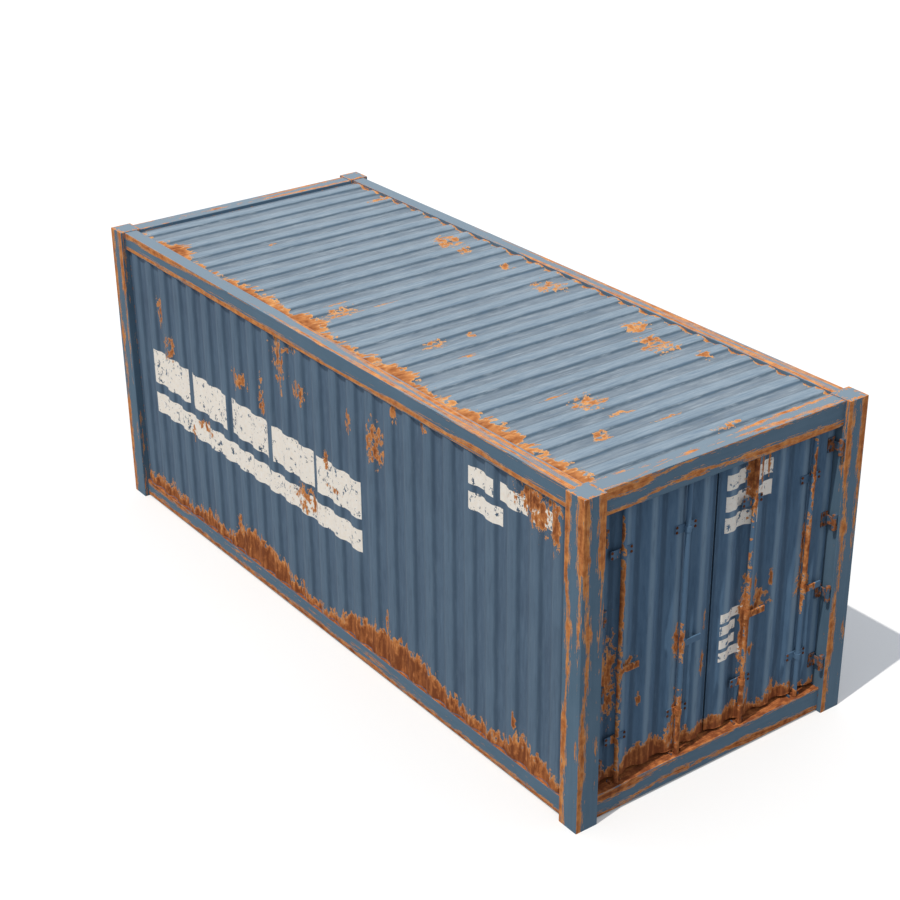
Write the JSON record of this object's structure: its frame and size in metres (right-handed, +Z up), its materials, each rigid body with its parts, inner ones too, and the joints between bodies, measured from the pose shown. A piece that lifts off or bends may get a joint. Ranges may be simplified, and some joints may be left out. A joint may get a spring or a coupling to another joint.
{
  "type": "shipping container",
  "caption": "Steel freight container with corrugated walls and roof, square corner posts, board floor, hinged end doors and turning lock bars.",
  "frame": {"origin": "on the ground, under the middle of the box", "axes": "+X along the length towards the door end, +Y to the right for someone facing the doors, +Z up"},
  "size_m": [6.058, 2.438, 2.438],
  "materials": {
    "frame_paint": "worn matt blue paint, rust along the edges",
    "wall_paint": "worn matt blue paint, rust above the bottom rail",
    "roof_paint": "faded matt blue paint, rust patches",
    "door_paint": "worn matt blue paint, rust at the foot",
    "worn_steel": "rusted steel with the last of its paint",
    "underframe_paint": "dull dark underseal",
    "gasket_rubber": "matt black rubber",
    "floor_board": "scuffed plywood"
  },
  "bodies": {
    "frame": {"front_left_post": "frame_paint", "front_right_post": "frame_paint", "door_left_post": "frame_paint", "door_right_post": "frame_paint", "front_left_top_fitting": "frame_paint", "front_right_top_fitting": "frame_paint", "door_left_top_fitting": "frame_paint", "door_right_top_fitting": "frame_paint", "front_left_bottom_fitting": "frame_paint", "front_right_bottom_fitting": "frame_paint", "door_left_bottom_fitting": "frame_paint", "door_right_bottom_fitting": "frame_paint", "left_top_rail": "frame_paint", "left_bottom_rail": "frame_paint", "right_top_rail": "frame_paint", "right_bottom_rail": "frame_paint", "front_header": "frame_paint", "front_sill": "frame_paint", "door_header": "frame_paint", "door_sill": "frame_paint", "left_wall": "wall_paint", "right_wall": "wall_paint", "front_wall": "wall_paint", "roof": "roof_paint", "floor": "floor_board", "floor_cross_members": "underframe_paint", "door_stops": "frame_paint", "header_keepers": "worn_steel", "sill_keepers": "worn_steel", "left_hinge_lugs": "worn_steel", "right_hinge_lugs": "worn_steel"},
    "left_door": {"left_door_skin": "door_paint", "left_door_frame": "door_paint", "left_door_gasket": "gasket_rubber", "left_door_hinges": "worn_steel", "left_bar_guides": "worn_steel"},
    "right_door": {"right_door_skin": "door_paint", "right_door_frame": "door_paint", "right_door_gasket": "gasket_rubber", "right_door_hinges": "worn_steel", "right_bar_guides": "worn_steel"},
    "left_outer_bar": {"left_outer_lock_bar": "worn_steel"},
    "left_inner_bar": {"left_inner_lock_bar": "worn_steel"},
    "right_inner_bar": {"right_inner_lock_bar": "worn_steel"},
    "right_outer_bar": {"right_outer_lock_bar": "worn_steel"}
  },
  "joints": [
    {"name": "left_door_swing", "type": "hinge", "parent": "frame", "child": "left_door", "pos_m": [3.007, -1.019, 0], "axis": [0, 0, -1], "range_deg": [0, 180]},
    {"name": "right_door_swing", "type": "hinge", "parent": "frame", "child": "right_door", "pos_m": [3.007, 1.019, 0], "axis": [0, 0, 1], "range_deg": [0, 180]},
    {"name": "left_outer_bar_turn", "type": "hinge", "parent": "left_door", "child": "left_outer_bar", "pos_m": [2.957, -0.827, 0], "axis": [0, 0, 1], "range_deg": [-90, 0]},
    {"name": "left_inner_bar_turn", "type": "hinge", "parent": "left_door", "child": "left_inner_bar", "pos_m": [2.957, -0.292, 0], "axis": [0, 0, 1], "range_deg": [-90, 0]},
    {"name": "right_inner_bar_turn", "type": "hinge", "parent": "right_door", "child": "right_inner_bar", "pos_m": [2.957, 0.292, 0], "axis": [0, 0, 1], "range_deg": [-90, 0]},
    {"name": "right_outer_bar_turn", "type": "hinge", "parent": "right_door", "child": "right_outer_bar", "pos_m": [2.957, 0.827, 0], "axis": [0, 0, 1], "range_deg": [-90, 0]}
  ]
}
